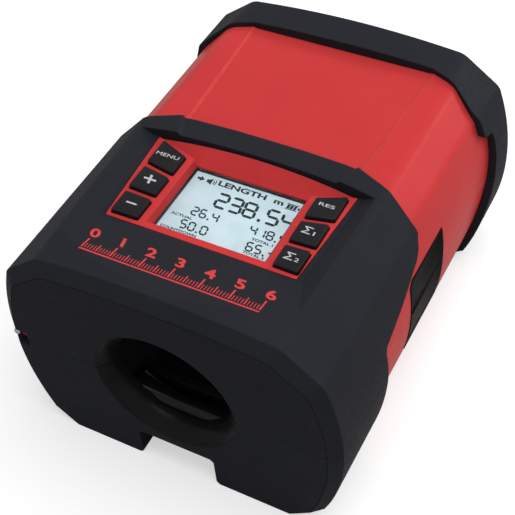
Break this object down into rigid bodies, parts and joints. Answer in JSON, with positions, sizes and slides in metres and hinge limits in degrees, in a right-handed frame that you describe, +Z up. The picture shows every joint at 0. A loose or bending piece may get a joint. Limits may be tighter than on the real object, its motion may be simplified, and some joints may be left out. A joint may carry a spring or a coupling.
{
  "type": "cable length counter",
  "caption": "Hinged cable length counter with guide rollers, a sprung measuring wheel, rounded end caps, a keypad with display and a magnetic catch",
  "frame": {"origin": "on the floor under the middle of the case", "axes": "+Y runs from the inlet to the outlet, +X to the right seen from the inlet, +Z up"},
  "size_m": [0.1192, 0.147, 0.0854],
  "materials": {
    "red_plastic": "fine-textured moulded plastic",
    "black_cap": "matt, soft to the touch",
    "ring_plastic": "smooth, slightly shiny where the cable runs",
    "grip_plastic": "matt with a fine grain",
    "tray_plastic": "matt",
    "key_plastic": "matt with light printed legends",
    "roller_plastic": "polished by the cable",
    "screw_steel": "zinc plated",
    "pin_steel": "ground",
    "magnet_metal": "nickel plated",
    "clear_window": "clear, polished",
    "lcd_glass": "pale grey liquid crystal display",
    "light_guide": "milky",
    "board_laminate": "green solder mask",
    "switch_plastic": "matt",
    "chip_plastic": "matt",
    "cell_sleeve": "plain shrink sleeve",
    "contact_metal": "nickel plated brass",
    "hub_plastic": "matt",
    "tyre_rubber": "fine knurl",
    "bearing_steel": "ground",
    "magnet_ferrite": "matt",
    "arm_plastic": "glass filled, matt"
  },
  "bodies": {
    "lower_half": {"lower_shell": "red_plastic", "front_cap_lower": "black_cap", "rear_cap_lower": "black_cap", "inlet_ring_lower": "ring_plastic", "outlet_ring_lower": "ring_plastic", "front_cradle": "tray_plastic", "rear_cradle": "tray_plastic", "roller_axles": "pin_steel", "roller_washers": "pin_steel", "hinge_pin": "pin_steel", "lower_grip": "grip_plastic", "lower_tray": "tray_plastic", "lower_tray_screws": "screw_steel", "foot_screws": "screw_steel", "lower_catch_magnet": "magnet_metal"},
    "inlet_roller": {"front_roller": "roller_plastic"},
    "outlet_roller": {"rear_roller": "roller_plastic"},
    "lid": {"upper_shell": "red_plastic", "display_bezel": "red_plastic", "front_cap_upper": "black_cap", "rear_cap_upper": "black_cap", "inlet_ring_upper": "ring_plastic", "outlet_ring_upper": "ring_plastic", "upper_grip": "grip_plastic", "upper_tray": "tray_plastic", "upper_tray_screws": "screw_steel", "board_screws": "screw_steel", "battery_door_screws": "screw_steel", "upper_catch_plate": "screw_steel", "display_lens": "clear_window", "lcd_panel": "lcd_glass", "backlight": "light_guide", "main_board": "board_laminate", "key_switches": "switch_plastic", "processor": "chip_plastic", "buzzer": "chip_plastic", "battery_cells": "cell_sleeve", "battery_contacts": "contact_metal", "battery_door_left": "tray_plastic", "battery_door_right": "tray_plastic", "arm_pivot_pin": "pin_steel", "arm_spring": "pin_steel"},
    "menu_button": {"key_menu": "key_plastic"},
    "plus_button": {"key_plus": "key_plastic"},
    "minus_button": {"key_minus": "key_plastic"},
    "reset_button": {"key_reset": "key_plastic"},
    "total_1_button": {"key_total_1": "key_plastic"},
    "total_2_button": {"key_total_2": "key_plastic"},
    "swing_arm": {"measuring_arm": "arm_plastic", "sensor_board": "board_laminate", "wheel_axle": "pin_steel"},
    "measuring_wheel": {"wheel_hub": "hub_plastic", "wheel_bearings": "bearing_steel", "wheel_tyre": "tyre_rubber", "encoder_magnet": "magnet_ferrite"}
  },
  "joints": [
    {"name": "lid_hinge", "type": "hinge", "parent": "lower_half", "child": "lid", "pos_m": [-0.057, 0, 0.042], "axis": [0, -1, 0], "range_deg": [0, 95]},
    {"name": "inlet_roller_spin", "type": "hinge", "parent": "lower_half", "child": "inlet_roller", "pos_m": [0, -0.0625, 0.0212], "axis": [1, 0, 0], "continuous": true},
    {"name": "outlet_roller_spin", "type": "hinge", "parent": "lower_half", "child": "outlet_roller", "pos_m": [0, 0.0625, 0.0212], "axis": [1, 0, 0], "continuous": true},
    {"name": "arm_swing", "type": "hinge", "parent": "lid", "child": "swing_arm", "pos_m": [0, 0.003, 0.0674], "axis": [1, 0, 0], "range_deg": [0, 52], "stiffness_Nm_per_rad": 0.02, "springref_deg": -34.38},
    {"name": "wheel_spin", "type": "hinge", "parent": "swing_arm", "child": "measuring_wheel", "pos_m": [0, 0.02871, 0.03676], "axis": [1, 0, 0], "continuous": true},
    {"name": "menu_press", "type": "slide", "parent": "lid", "child": "menu_button", "axis": [0, 0, -1], "range_m": [0, 0.0008], "stiffness_N_per_m": 300, "springref_m": -0.001},
    {"name": "plus_press", "type": "slide", "parent": "lid", "child": "plus_button", "axis": [0, 0, -1], "range_m": [0, 0.0008], "stiffness_N_per_m": 300, "springref_m": -0.001},
    {"name": "minus_press", "type": "slide", "parent": "lid", "child": "minus_button", "axis": [0, 0, -1], "range_m": [0, 0.0008], "stiffness_N_per_m": 300, "springref_m": -0.001},
    {"name": "reset_press", "type": "slide", "parent": "lid", "child": "reset_button", "axis": [0, 0, -1], "range_m": [0, 0.0008], "stiffness_N_per_m": 300, "springref_m": -0.001},
    {"name": "total_1_press", "type": "slide", "parent": "lid", "child": "total_1_button", "axis": [0, 0, -1], "range_m": [0, 0.0008], "stiffness_N_per_m": 300, "springref_m": -0.001},
    {"name": "total_2_press", "type": "slide", "parent": "lid", "child": "total_2_button", "axis": [0, 0, -1], "range_m": [0, 0.0008], "stiffness_N_per_m": 300, "springref_m": -0.001}
  ]
}
